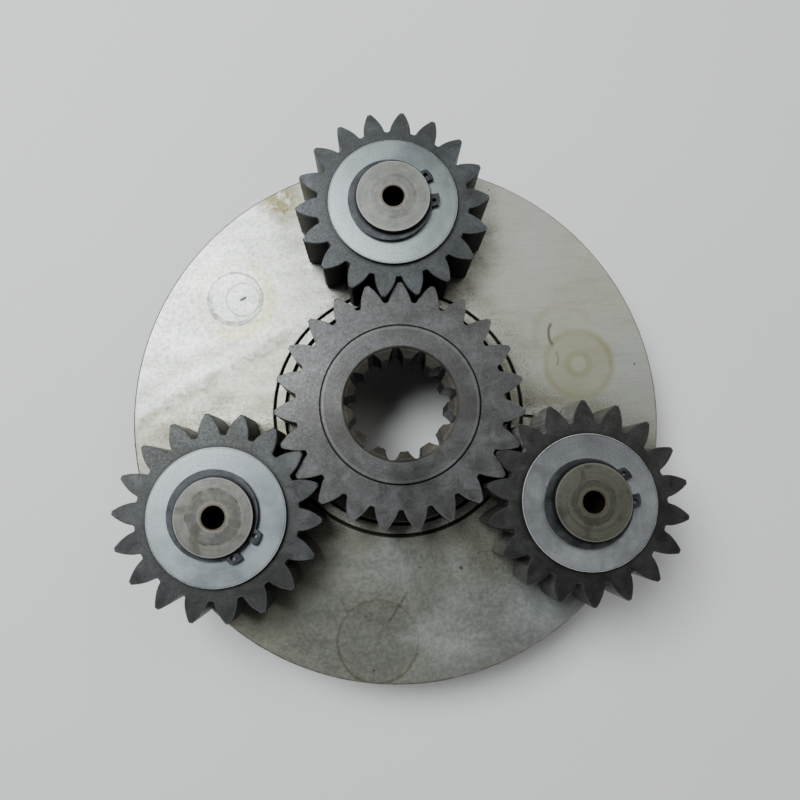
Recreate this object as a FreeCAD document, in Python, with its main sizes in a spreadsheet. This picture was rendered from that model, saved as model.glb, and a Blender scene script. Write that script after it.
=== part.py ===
import FreeCAD, Part
import math
import os
import Sketcher

# ---------------------------------------------------------------------------
# Planetary gear set: a disc carrier with three planet gears on needle
# bearings round a splined sun gear.  +Z runs up the main axis, away from the
# output hub.  The origin is on the main axis, at the hub's lower end face.
# All sizes are millimetres and live in the sheet called Dimensions.
# ---------------------------------------------------------------------------
V = FreeCAD.Vector
doc = FreeCAD.newDocument("planetary_gear_set")
sheet = doc.addObject("Spreadsheet::Sheet", "Dimensions")

ROWS = [
    # gear data
    ("module_mm", 4.0, "module of the running gears"),
    ("pressure_deg", 29.0, "pressure angle of the running gears"),
    ("sun_teeth", 23, "sun gear tooth count"),
    ("planet_teeth", 18, "planet gear tooth count"),
    ("centre_dist", 83.0, "sun axis to planet axis"),
    ("sun_thick", 6.2, "sun tooth thickness at the running pitch circle"),
    ("planet_thick", 6.0, "planet tooth thickness at the running pitch circle"),
    ("sun_tip", 50.3, "sun tip radius"),
    ("sun_root", 41.8, "sun root radius"),
    ("planet_tip", 40.1, "planet tip radius"),
    ("planet_root", 31.3, "planet root radius"),
    ("root_fillet", 0.95, "tooth root fillet radius"),
    ("sun_bevel", 0.25, "bevel along the sun's flanks"),
    ("planet_bevel", 0.3, "bevel along the planets' flanks"),
    ("sun_tip_bevel", 0.45, "bevel on the sun's tooth tips"),
    ("planet_tip_bevel", 0.55, "bevel on the planets' tooth tips"),
    # carrier plate
    ("hub_drop", 14.0, "hub length below the plate"),
    ("plate_thick", 18.0, "carrier plate thickness"),
    ("plate_rad", 113.4, "carrier plate radius"),
    ("plate_bevel", 0.8, "bevel on the plate's edges"),
    ("hub_flange_rad", 53.9, "hub flange radius, and its seat in the plate"),
    ("hub_flange_thick", 10.0, "hub flange thickness"),
    ("joint_wide", 1.3, "width of the open groove round the flange joint"),
    ("joint_deep", 2.4, "depth of the open groove round the flange joint"),
    ("joint_bevel", 0.5, "bevel on the hub passage"),
    ("passage_rad", 46.0, "hub passage in the plate, and the hub's neck"),
    ("hub_rad", 45.0, "hub journal radius"),
    ("recess_rad", 49.2, "recess for the sun's thrust washer"),
    ("recess_deep", 3.2, "recess depth"),
    ("slot_wide", 1.3, "pry slot width"),
    ("slot_long", 5.6, "pry slot length outside the flange"),
    ("slot_deep", 1.4, "pry slot depth"),
    # splines, 30 degree involute, 25.4/8 mm module
    ("spline_mod", 3.175, "spline module"),
    ("sun_spline_teeth", 13, "spline teeth in the sun"),
    ("sun_spline_minor", 19.05, "sun spline minor radius"),
    ("sun_spline_major", 22.78, "sun spline major radius"),
    ("hub_spline_teeth", 20, "spline teeth in the hub"),
    ("hub_spline_minor", 30.16, "hub spline minor radius"),
    ("hub_spline_major", 33.89, "hub spline major radius"),
    # sun gear
    ("sun_lift", 0.10, "sun lower face above the plate's top"),
    ("sun_face", 22.5, "sun tooth length"),
    ("boss_rad", 31.8, "sun boss radius"),
    ("boss_high", 0.5, "boss height above the toothed face"),
    ("boss_groove_wide", 0.5, "width of the groove round the boss"),
    ("boss_groove_deep", 0.5, "depth of the groove round the boss"),
    ("sun_lead_rad", 23.3, "lead-in cone radius at the boss face"),
    ("sun_lead_deep", 2.45, "lead-in cone depth"),
    ("sun_lead_low", 0.8, "bevel on the bore's lower end"),
    ("sun_spline_turn", 12.2, "turn of the spline against the teeth, degrees"),
    # sun thrust washer
    ("sun_washer_out", 47.7, "sun thrust washer outer radius"),
    ("sun_washer_in", 25.0, "sun thrust washer inner radius"),
    ("sun_washer_thick", 3.05, "sun thrust washer thickness"),
    # planets and their bearings
    ("planet_lift", 1.05, "planet lower face above the plate's top"),
    ("planet_face", 24.25, "planet tooth length"),
    ("planet_bore", 19.9, "planet bore radius, outer race"),
    ("roller_rad", 2.47, "needle roller radius"),
    ("roller_long", 19.8, "needle roller length"),
    ("roller_count", 14, "rollers in one bearing"),
    ("cage_in", 16.55, "needle cage inner radius"),
    ("cage_out", 18.25, "needle cage outer radius"),
    ("cage_long", 23.4, "needle cage length"),
    # pins
    ("pin_rad", 14.9, "planet pin radius"),
    ("pin_over", 31.8, "pin top above the plate's top"),
    ("pin_bevel", 0.2, "bevel on the pin's ends"),
    ("pin_hole_rad", 4.25, "oil hole radius"),
    ("pin_hole_deep", 38.0, "oil hole depth"),
    ("pin_sink", 0.3, "oil hole countersink"),
    ("cross_hole_rad", 1.6, "cross oil hole radius"),
    ("groove_low", 27.32, "retaining ring groove, lower edge above the plate's top"),
    ("groove_wide", 2.06, "groove width"),
    ("groove_rad", 13.95, "groove floor radius"),
    # thrust washers
    ("washer_out", 26.55, "thrust washer outer radius"),
    ("washer_in", 15.05, "thrust washer inner radius"),
    ("upper_washer_thick", 1.9, "upper thrust washer thickness"),
    ("lower_washer_thick", 0.96, "lower thrust washer thickness"),
    ("washer_gap", 0.04, "axial running gap at each washer face"),
    # retaining rings
    ("ring_thick", 1.96, "retaining ring thickness"),
    ("ring_out", 17.2, "retaining ring outer radius"),
    ("ring_shift", 1.25, "eccentricity of the ring's outside"),
    ("lug_out", 18.95, "lug outer radius"),
    ("lug_hole", 0.95, "plier hole radius"),
    # lock pins
    ("lock_rad", 3.0, "spring pin radius"),
    ("lock_wall", 0.7, "spring pin wall"),
    ("lock_long", 24.0, "spring pin length"),
    ("lock_outer", 111.0, "spring pin outer end, from the main axis"),
]
for i, (alias, value, note) in enumerate(ROWS, start=1):
    sheet.set("A%d" % i, alias)
    sheet.set("B%d" % i, repr(value))
    sheet.set("C%d" % i, note)
    sheet.setAlias("B%d" % i, alias)
doc.recompute()
D = {alias: float(getattr(sheet, alias)) for alias, _, _ in ROWS}
PLATE_TOP = "(Dimensions.hub_drop + Dimensions.plate_thick)"
TOP = D["hub_drop"] + D["plate_thick"]
STATIONS = (("a", 90.0), ("b", 210.0), ("c", 330.0))


# ------------------------------------------------------------ small helpers
def plane(body, role):
    return [o for o in body.Origin.OriginFeatures if o.Role == role][0]


def new_body(label):
    body = doc.addObject("PartDesign::Body", label)
    body.Label = label
    return body


def sketch(body, name, height=None, role="XY_Plane"):
    sk = body.newObject("Sketcher::SketchObject", name)
    sk.AttachmentSupport = [(plane(body, role), "")]
    sk.MapMode = "FlatFace"
    if height is not None:
        sk.setExpression("AttachmentOffset.Base.z", height)
    return sk


def circle(sk, radius_expr, value, x=0.0, y=0.0):
    g = sk.addGeometry(Part.Circle(V(x, y, 0), V(0, 0, 1), value), False)
    c = sk.addConstraint(Sketcher.Constraint("Radius", g, value))
    sk.setExpression("Constraints[%d]" % c, radius_expr)
    if x == 0.0 and y == 0.0:
        sk.addConstraint(Sketcher.Constraint("Coincident", g, 3, -1, 1))
    else:
        sk.addConstraint(Sketcher.Constraint("DistanceX", -1, 1, g, 3, x))
        sk.addConstraint(Sketcher.Constraint("DistanceY", -1, 1, g, 3, y))
    return g


def pad(body, sk, name, length_expr):
    f = body.newObject("PartDesign::Pad", name)
    f.Profile = sk
    f.setExpression("Length", length_expr)
    sk.Visibility = False
    doc.recompute()
    return f


def cut_check(body, before, name):
    doc.recompute()
    after = body.Shape.Volume
    if not after < before - 1e-3:
        raise RuntimeError("%s removed nothing" % name)


def pocket(body, sk, name, length_expr=None, up=False):
    before = body.Shape.Volume
    f = body.newObject("PartDesign::Pocket", name)
    f.Profile = sk
    if length_expr is None:
        f.Type = "ThroughAll"
    else:
        f.setExpression("Length", length_expr)
    f.Reversed = up
    doc.recompute()
    cut_check(body, before, name)
    return f


def polar(body, originals, name, count_expr, role="Z_Axis"):
    axis = [o for o in body.Origin.OriginFeatures if o.Role == role][0]
    f = body.newObject("PartDesign::PolarPattern", name)
    f.Originals = originals
    f.Axis = (axis, [""])
    f.Angle = 360.0
    f.setExpression("Occurrences", count_expr)
    body.Tip = f
    doc.recompute()
    return f


def round_edges(shape, picks, tol=0.02):
    """names of the circular edges at (radius, z) pairs, in the body's frame"""
    names = []
    for i, e in enumerate(shape.Edges, start=1):
        c = getattr(e, "Curve", None)
        if not isinstance(c, Part.Circle):
            continue
        for r, z in picks:
            if abs(c.Radius - r) < tol and abs(c.Center.z - z) < tol:
                if math.hypot(c.Center.x, c.Center.y) < tol:
                    names.append("Edge%d" % i)
    return names


def chamfer(body, name, picks, size_expr):
    base = body.Tip
    edges = round_edges(base.Shape, picks)
    if not edges:
        raise RuntimeError("%s found no edges" % name)
    f = body.newObject("PartDesign::Chamfer", name)
    f.Base = (base, edges)
    f.setExpression("Size", size_expr)
    body.Tip = f
    doc.recompute()
    return f


def cone_cut(body, name, low_expr, high_expr, tall_expr, z_expr):
    before = body.Shape.Volume
    f = body.newObject("PartDesign::SubtractiveCone", name)
    f.setExpression("Radius1", low_expr)
    f.setExpression("Radius2", high_expr)
    f.setExpression("Height", tall_expr)
    f.AttachmentSupport = [(plane(body, "XY_Plane"), "")]
    f.MapMode = "FlatFace"
    f.setExpression("AttachmentOffset.Base.z", z_expr)
    body.Tip = f
    cut_check(body, before, name)
    return f


# ----------------------------------------------------------- tooth geometry
def inv(a):
    return math.tan(a) - a


def pol(r, a):
    return (r * math.cos(a), r * math.sin(a))


def flank_external(teeth, base_r, half_at, r_ref, inv_ref, r):
    """half angle of the gap between two external teeth, at radius r"""
    a = math.acos(min(1.0, base_r / r)) if r > base_r else 0.0
    tooth = half_at / r_ref + inv_ref - inv(a)
    return math.pi / teeth - tooth


def flank_internal(base_r, half_at, r_ref, inv_ref, r):
    """half angle of a space of an internal spline, at radius r"""
    a = math.acos(min(1.0, base_r / r)) if r > base_r else 0.0
    return half_at / r_ref + inv_ref - inv(a)


def space_outline(half_angle, r_open, r_floor, fillet, grow=0.0, steps=9, turn=0.0):
    """Outline of one tooth space centred on the X axis, or turned by turn.

    half_angle(r) gives the space's half angle, r_open is a radius past its
    mouth and r_floor its root circle.  grow moves the outline into the metal.
    Returns the sketch curves in order.
    """
    outward = r_open > r_floor
    s = 1.0 if outward else -1.0
    rc = r_floor + s * fillet
    n = 400
    line = []
    for k in range(n + 1):
        r = r_open + (r_floor - r_open) * k / n
        line.append(pol(r, half_angle(r)))

    def dist(phi):
        cx, cy = pol(rc, phi)
        best = min(range(len(line)), key=lambda i: (line[i][0] - cx) ** 2 + (line[i][1] - cy) ** 2)
        return math.hypot(line[best][0] - cx, line[best][1] - cy), best

    lo, hi = 0.0, half_angle(rc)
    if dist(0.0)[0] <= fillet:
        raise RuntimeError("root fillet is too large for the space")
    for _ in range(50):
        mid = 0.5 * (lo + hi)
        if dist(mid)[0] > fillet:
            lo = mid
        else:
            hi = mid
    phi = lo
    touch = dist(phi)[1]
    cx, cy = pol(rc, phi)
    tx, ty = line[touch]
    tl = math.hypot(tx - cx, ty - cy)
    ux, uy = (tx - cx) / tl, (ty - cy) / tl
    # flank points from the mouth to the fillet, moved along their normals
    pts = []
    for k in range(steps):
        i = int(round(touch * k / (steps - 1.0)))
        j0, j1 = max(i - 1, 0), min(i + 1, n)
        dx, dy = line[j1][0] - line[j0][0], line[j1][1] - line[j0][1]
        dl = math.hypot(dx, dy)
        nx, ny = -dy / dl, dx / dl
        if ny < 0:
            nx, ny = -nx, -ny
        pts.append((line[i][0] + nx * grow, line[i][1] + ny * grow))
    end = (cx + ux * (fillet + grow), cy + uy * (fillet + grow))
    pts[-1] = end
    floor_r = r_floor - s * grow
    f0 = pol(floor_r, phi)
    a0 = math.atan2(uy, ux)
    a1 = math.atan2(-s * math.sin(phi), -s * math.cos(phi))
    while a1 - a0 > math.pi:
        a1 -= 2 * math.pi
    while a0 - a1 > math.pi:
        a1 += 2 * math.pi
    mid_a = 0.5 * (a0 + a1)
    fm = (cx + (fillet + grow) * math.cos(mid_a), cy + (fillet + grow) * math.sin(mid_a))

    ct, st = math.cos(turn), math.sin(turn)

    def v(p, flip=False):
        y = -p[1] if flip else p[1]
        return V(p[0] * ct - y * st, p[0] * st + y * ct, 0)

    def spline(points):
        b = Part.BSplineCurve()
        b.interpolate(points)
        return b

    upper = [v(p) for p in pts]
    lower = [v(p, True) for p in pts]
    curves = [
        spline(upper),
        Part.Arc(v(end), v(fm), v(f0)),
        Part.Arc(v(f0), v((floor_r, 0.0)), v(f0, True)),
        Part.Arc(v(f0, True), v(fm, True), v(end, True)),
        spline(list(reversed(lower))),
        Part.LineSegment(lower[0], upper[0]),
    ]
    return curves


def draw(sk, curves):
    for c in curves:
        sk.addGeometry(c, False)


MOD, PA = D["module_mm"], math.radians(D["pressure_deg"])
ZS, ZP = int(D["sun_teeth"]), int(D["planet_teeth"])
RPS, RPP = D["centre_dist"] * ZS / (ZS + ZP), D["centre_dist"] * ZP / (ZS + ZP)
RBS, RBP = 0.5 * MOD * ZS * math.cos(PA), 0.5 * MOD * ZP * math.cos(PA)
INVW = inv(math.acos((RBS + RBP) / D["centre_dist"]))


def sun_gap(r):
    return flank_external(ZS, RBS, 0.5 * D["sun_thick"], RPS, INVW, r)


def planet_gap(r):
    return flank_external(ZP, RBP, 0.5 * D["planet_thick"], RPP, INVW, r)


def spline_space(teeth):
    rp = 0.5 * D["spline_mod"] * teeth
    rb = rp * math.cos(math.radians(30.0))
    half = 0.25 * math.pi * D["spline_mod"]
    return lambda r: flank_internal(rb, half, rp, inv(math.radians(30.0)), r)


def bevelled_teeth(body, tag, gap, tip, root, face_expr, face, bevel_expr, bevel, count_expr):
    """cuts the tooth spaces and the bevel round every tooth, both faces"""
    before = body.Shape.Volume
    open_r = tip + 1.6
    sk = sketch(body, tag + "_space")
    draw(sk, space_outline(gap, open_r, root, D["root_fillet"]))
    p = pocket(body, sk, tag + "_space_cut", None, up=True)
    feats = [p]
    for side in ("low", "high"):
        if side == "low":
            za, zb = None, bevel_expr
            grow_a, grow_b = bevel, 0.0
        else:
            za, zb = face_expr, "%s - %s" % (face_expr, bevel_expr)
            grow_a, grow_b = bevel, 0.0
        outer = sketch(body, "%s_bevel_%s_wide" % (tag, side), za)
        draw(outer, space_outline(gap, open_r, root, D["root_fillet"], grow_a))
        inner = sketch(body, "%s_bevel_%s_base" % (tag, side), zb)
        draw(inner, space_outline(gap, open_r, root, D["root_fillet"], grow_b))
        doc.recompute()
        f = body.newObject("PartDesign::SubtractiveLoft", "%s_bevel_%s" % (tag, side))
        f.Profile = outer
        f.Sections = [inner]
        f.Ruled = True
        f.Closed = False
        body.Tip = f
        doc.recompute()
        feats.append(f)
    pat = polar(body, feats, tag + "_pattern", count_expr)
    cut_check(body, before, tag + " teeth")
    return pat


# ------------------------------------------------------------ carrier plate
plate = new_body("carrier_plate")
sk = sketch(plate, "plate_outline", "Dimensions.hub_drop")
circle(sk, "Dimensions.plate_rad", D["plate_rad"])
pad(plate, sk, "plate_disc", "Dimensions.plate_thick")
sk = sketch(plate, "flange_seat", PLATE_TOP)
circle(sk, "Dimensions.hub_flange_rad", D["hub_flange_rad"])
pocket(plate, sk, "flange_seat_cut", "Dimensions.hub_flange_thick")
sk = sketch(plate, "hub_passage", PLATE_TOP)
circle(sk, "Dimensions.passage_rad", D["passage_rad"])
pocket(plate, sk, "hub_passage_cut")
sk = sketch(plate, "pin_bores", PLATE_TOP)
for _, ang in STATIONS:
    x, y = pol(D["centre_dist"], math.radians(ang))
    circle(sk, "Dimensions.pin_rad", D["pin_rad"], x, y)
pocket(plate, sk, "pin_bore_cut")
# radial holes for the lock pins, drilled from the rim into the pin bores
sk = sketch(plate, "lock_hole", None, "XZ_Plane")
g = sk.addGeometry(Part.Circle(V(0, D["hub_drop"] + 0.5 * D["plate_thick"], 0), V(0, 0, 1), D["lock_rad"]), False)
c = sk.addConstraint(Sketcher.Constraint("Radius", g, D["lock_rad"]))
sk.setExpression("Constraints[%d]" % c, "Dimensions.lock_rad")
c = sk.addConstraint(Sketcher.Constraint("DistanceY", -1, 1, g, 3, D["hub_drop"] + 0.5 * D["plate_thick"]))
sk.setExpression("Constraints[%d]" % c, "Dimensions.hub_drop + 0.5 * Dimensions.plate_thick")
sk.addConstraint(Sketcher.Constraint("PointOnObject", g, 3, -2))
sk.setExpression("AttachmentOffset.Base.z", "-Dimensions.plate_rad - 2")
before = plate.Shape.Volume
f = plate.newObject("PartDesign::Pocket", "lock_hole_cut")
f.Profile = sk
f.setExpression("Length", "Dimensions.plate_rad + 2 - Dimensions.centre_dist")
doc.recompute()
if not plate.Shape.Volume < before - 1:
    f.Reversed = True
cut_check(plate, before, "lock_hole_cut")
lock_cut = f
polar(plate, [lock_cut], "lock_holes", "3")
# pry slot beside the flange joint
slot_a = math.radians(-4.6)
sk = sketch(plate, "pry_slot", PLATE_TOP)
r0, r1, hw = D["hub_flange_rad"] - 0.6, D["hub_flange_rad"] + D["slot_long"], 0.5 * D["slot_wide"]
ux, uy = math.cos(slot_a), math.sin(slot_a)
corner = [(r0, -hw), (r1 - hw, -hw), (r1, 0.0), (r1 - hw, hw), (r0, hw)]
pt = [V(a * ux - b * uy, a * uy + b * ux, 0) for a, b in corner]
sk.addGeometry(Part.LineSegment(pt[0], pt[1]), False)
sk.addGeometry(Part.Arc(pt[1], pt[2], pt[3]), False)
sk.addGeometry(Part.LineSegment(pt[3], pt[4]), False)
sk.addGeometry(Part.LineSegment(pt[4], pt[0]), False)
pocket(plate, sk, "pry_slot_cut", "Dimensions.slot_deep")
chamfer(plate, "rim_bevel", [(D["plate_rad"], TOP), (D["plate_rad"], D["hub_drop"])], "Dimensions.plate_bevel")
chamfer(plate, "passage_bevel", [(D["passage_rad"], D["hub_drop"])], "Dimensions.joint_bevel")

# --------------------------------------------------------------- output hub
hub = new_body("output_hub")
sk = sketch(hub, "journal_outline")
circle(sk, "Dimensions.hub_rad", D["hub_rad"])
pad(hub, sk, "journal", "Dimensions.hub_drop")
sk = sketch(hub, "neck_outline", "Dimensions.hub_drop")
circle(sk, "Dimensions.passage_rad", D["passage_rad"])
pad(hub, sk, "neck", "Dimensions.plate_thick - Dimensions.hub_flange_thick")
sk = sketch(hub, "flange_outline", PLATE_TOP + " - Dimensions.hub_flange_thick")
circle(sk, "Dimensions.hub_flange_rad", D["hub_flange_rad"])
pad(hub, sk, "flange", "Dimensions.hub_flange_thick")
sk = sketch(hub, "washer_recess", PLATE_TOP)
circle(sk, "Dimensions.recess_rad", D["recess_rad"])
pocket(hub, sk, "washer_recess_cut", "Dimensions.recess_deep")
sk = sketch(hub, "spline_minor", PLATE_TOP)
circle(sk, "Dimensions.hub_spline_minor", D["hub_spline_minor"])
pocket(hub, sk, "spline_minor_cut")
sk = sketch(hub, "joint_groove", PLATE_TOP)
circle(sk, "Dimensions.hub_flange_rad + 1", D["hub_flange_rad"] + 1.0)
circle(sk, "Dimensions.hub_flange_rad - Dimensions.joint_wide", D["hub_flange_rad"] - D["joint_wide"])
pocket(hub, sk, "joint_groove_cut", "Dimensions.joint_deep")
chamfer(hub, "journal_bevel", [(D["hub_rad"], 0.0)], "1.2")
sk = sketch(hub, "spline_space")
draw(sk, space_outline(spline_space(int(D["hub_spline_teeth"])), D["hub_spline_minor"] - 1.0, D["hub_spline_major"], 0.9))
p = pocket(hub, sk, "spline_space_cut", None, up=True)
polar(hub, [p], "spline_pattern", "Dimensions.hub_spline_teeth")
cone_cut(hub, "lead_in_low", "Dimensions.hub_spline_major + 0.5", "Dimensions.hub_spline_minor - 0.2", "2.2", "0")

# ---------------------------------------------------------------- sun gear
sun = new_body("sun_gear")
sk = sketch(sun, "blank_outline")
circle(sk, "Dimensions.sun_tip", D["sun_tip"])
pad(sun, sk, "blank", "Dimensions.sun_face")
chamfer(sun, "tip_bevel", [(D["sun_tip"], 0.0), (D["sun_tip"], D["sun_face"])], "Dimensions.sun_tip_bevel")
bevelled_teeth(sun, "sun_teeth", sun_gap, D["sun_tip"], D["sun_root"], "Dimensions.sun_face",
               D["sun_face"], "Dimensions.sun_bevel", D["sun_bevel"], "Dimensions.sun_teeth")
sk = sketch(sun, "boss_outline", "Dimensions.sun_face")
circle(sk, "Dimensions.boss_rad", D["boss_rad"])
pad(sun, sk, "boss", "Dimensions.boss_high")
sk = sketch(sun, "boss_groove", "Dimensions.sun_face")
circle(sk, "Dimensions.boss_rad + Dimensions.boss_groove_wide", D["boss_rad"] + D["boss_groove_wide"])
circle(sk, "Dimensions.boss_rad", D["boss_rad"])
pocket(sun, sk, "boss_groove_cut", "Dimensions.boss_groove_deep")
sk = sketch(sun, "bore_outline", "Dimensions.sun_face + Dimensions.boss_high")
circle(sk, "Dimensions.sun_spline_minor", D["sun_spline_minor"])
pocket(sun, sk, "bore_cut")
sk = sketch(sun, "sun_spline_space")
draw(sk, space_outline(spline_space(int(D["sun_spline_teeth"])), D["sun_spline_minor"] - 1.0, D["sun_spline_major"], 0.9,
                       turn=math.radians(D["sun_spline_turn"])))
p = pocket(sun, sk, "sun_spline_cut", None, up=True)
polar(sun, [p], "sun_spline_pattern", "Dimensions.sun_spline_teeth")
cone_cut(sun, "lead_in_top", "Dimensions.sun_spline_minor - 0.17", "Dimensions.sun_lead_rad", "Dimensions.sun_lead_deep + 0.001",
         "Dimensions.sun_face + Dimensions.boss_high - Dimensions.sun_lead_deep")
cone_cut(sun, "lead_in_low", "Dimensions.sun_spline_minor + 0.9", "Dimensions.sun_spline_minor - 0.1", "Dimensions.sun_lead_low", "0")
# a tooth of the sun stands at 88.14 degrees about the main axis
SUN_TOOTH = 88.14
SUN_PITCH = 360.0 / ZS
sun_turn = SUN_TOOTH - 0.5 * SUN_PITCH      # a space, not a tooth, is drawn on +X
sun.Placement = FreeCAD.Placement(V(0, 0, TOP + D["sun_lift"]), FreeCAD.Rotation(V(0, 0, 1), sun_turn))

# --------------------------------------------------- sun gear thrust washer
sw = new_body("sun_thrust_washer")
sk = sketch(sw, "outline")
circle(sk, "Dimensions.sun_washer_out", D["sun_washer_out"])
circle(sk, "Dimensions.sun_washer_in", D["sun_washer_in"])
pad(sw, sk, "ring", "Dimensions.sun_washer_thick")
chamfer(sw, "edge_bevel", [(D["sun_washer_out"], D["sun_washer_thick"]), (D["sun_washer_in"], D["sun_washer_thick"]),
                           (D["sun_washer_out"], 0.0), (D["sun_washer_in"], 0.0)], "0.35")
sw.Placement = FreeCAD.Placement(V(0, 0, TOP - D["recess_deep"] + 0.05), FreeCAD.Rotation())

PITCH_P = 360.0 / ZP
RING_GAP = {"a": 15.9, "b": -46.5, "c": 18.2}
for tag, ang in STATIONS:
    px, py = pol(D["centre_dist"], math.radians(ang))

    # ------------------------------------------------------- planet gear
    pg = new_body("planet_gear_" + tag)
    sk = sketch(pg, "blank_outline_" + tag)
    circle(sk, "Dimensions.planet_tip", D["planet_tip"])
    pad(pg, sk, "blank_" + tag, "Dimensions.planet_face")
    chamfer(pg, "tip_bevel_" + tag, [(D["planet_tip"], 0.0), (D["planet_tip"], D["planet_face"])], "Dimensions.planet_tip_bevel")
    bevelled_teeth(pg, "planet_teeth_" + tag, planet_gap, D["planet_tip"], D["planet_root"], "Dimensions.planet_face",
                   D["planet_face"], "Dimensions.planet_bevel", D["planet_bevel"], "Dimensions.planet_teeth")
    sk = sketch(pg, "bore_outline_" + tag, "Dimensions.planet_face")
    circle(sk, "Dimensions.planet_bore", D["planet_bore"])
    pocket(pg, sk, "bore_cut_" + tag)
    chamfer(pg, "bore_bevel_" + tag, [(D["planet_bore"], 0.0), (D["planet_bore"], D["planet_face"])], "0.7")
    # the planet is turned so that the sun's nearest tooth sits mid-space
    k = round((ang - SUN_TOOTH) / SUN_PITCH)
    delta = SUN_TOOTH + k * SUN_PITCH - ang
    space = ang + 180.0 - delta * ZS / float(ZP)
    pg.Placement = FreeCAD.Placement(V(px, py, TOP + D["planet_lift"]), FreeCAD.Rotation(V(0, 0, 1), space))

    # -------------------------------------------------------- planet pin
    pin = new_body("planet_pin_" + tag)
    sk = sketch(pin, "shank_outline_" + tag)
    circle(sk, "Dimensions.pin_rad", D["pin_rad"])
    pad(pin, sk, "shank_" + tag, "Dimensions.plate_thick + Dimensions.groove_low")
    sk = sketch(pin, "neck_outline_" + tag, "Dimensions.plate_thick + Dimensions.groove_low")
    circle(sk, "Dimensions.groove_rad", D["groove_rad"])
    pad(pin, sk, "neck_" + tag, "Dimensions.groove_wide")
    sk = sketch(pin, "head_outline_" + tag, "Dimensions.plate_thick + Dimensions.groove_low + Dimensions.groove_wide")
    circle(sk, "Dimensions.pin_rad", D["pin_rad"])
    pad(pin, sk, "head_" + tag, "Dimensions.pin_over - Dimensions.groove_low - Dimensions.groove_wide")
    sk = sketch(pin, "oil_hole_outline_" + tag, "Dimensions.plate_thick + Dimensions.pin_over")
    circle(sk, "Dimensions.pin_hole_rad", D["pin_hole_rad"])
    pocket(pin, sk, "oil_hole_" + tag, "Dimensions.pin_hole_deep")
    pin_top = D["plate_thick"] + D["pin_over"]
    chamfer(pin, "oil_hole_sink_" + tag, [(D["pin_hole_rad"], pin_top)], "Dimensions.pin_sink")
    chamfer(pin, "pin_end_bevel_" + tag, [(D["pin_rad"], pin_top), (D["pin_rad"], 0.0)], "Dimensions.pin_bevel")
    # cross hole that feeds oil to the needles, on the side away from the sun
    sk = sketch(pin, "cross_outline_" + tag, None, "XZ_Plane")
    zc = D["plate_thick"] + D["planet_lift"] + 0.5 * D["planet_face"]
    g = sk.addGeometry(Part.Circle(V(0, zc, 0), V(0, 0, 1), D["cross_hole_rad"]), False)
    c = sk.addConstraint(Sketcher.Constraint("Radius", g, D["cross_hole_rad"]))
    sk.setExpression("Constraints[%d]" % c, "Dimensions.cross_hole_rad")
    c = sk.addConstraint(Sketcher.Constraint("DistanceY", -1, 1, g, 3, zc))
    sk.setExpression("Constraints[%d]" % c, "Dimensions.plate_thick + Dimensions.planet_lift + 0.5 * Dimensions.planet_face")
    sk.addConstraint(Sketcher.Constraint("PointOnObject", g, 3, -2))
    pocket(pin, sk, "cross_hole_" + tag, "Dimensions.pin_rad + 1")
    # hole for the lock pin
    sk = sketch(pin, "lock_outline_" + tag, None, "XZ_Plane")
    g = sk.addGeometry(Part.Circle(V(0, 0.5 * D["plate_thick"], 0), V(0, 0, 1), D["lock_rad"]), False)
    c = sk.addConstraint(Sketcher.Constraint("Radius", g, D["lock_rad"]))
    sk.setExpression("Constraints[%d]" % c, "Dimensions.lock_rad")
    c = sk.addConstraint(Sketcher.Constraint("DistanceY", -1, 1, g, 3, 0.5 * D["plate_thick"]))
    sk.setExpression("Constraints[%d]" % c, "0.5 * Dimensions.plate_thick")
    sk.addConstraint(Sketcher.Constraint("PointOnObject", g, 3, -2))
    pocket(pin, sk, "lock_hole_" + tag, "Dimensions.pin_rad + 1")
    pin.Placement = FreeCAD.Placement(V(px, py, D["hub_drop"]), FreeCAD.Rotation(V(0, 0, 1), ang - 90.0))

    # ---------------------------------------------------- thrust washers
    for which, thick, z in (("upper", "upper_washer_thick", D["planet_lift"] + D["planet_face"] + D["washer_gap"]),
                            ("lower", "lower_washer_thick", D["washer_gap"])):
        w = new_body("%s_thrust_washer_%s" % (which, tag))
        sk = sketch(w, "%s_outline_%s" % (which, tag))
        circle(sk, "Dimensions.washer_out", D["washer_out"])
        circle(sk, "Dimensions.washer_in", D["washer_in"])
        pad(w, sk, "%s_ring_%s" % (which, tag), "Dimensions." + thick)
        chamfer(w, "%s_edge_%s" % (which, tag),
                [(D["washer_out"], D[thick]), (D["washer_out"], 0.0), (D["washer_in"], D[thick]), (D["washer_in"], 0.0)],
                "0.25" if which == "upper" else "0.15")
        w.Placement = FreeCAD.Placement(V(px, py, TOP + z), FreeCAD.Rotation())

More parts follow.
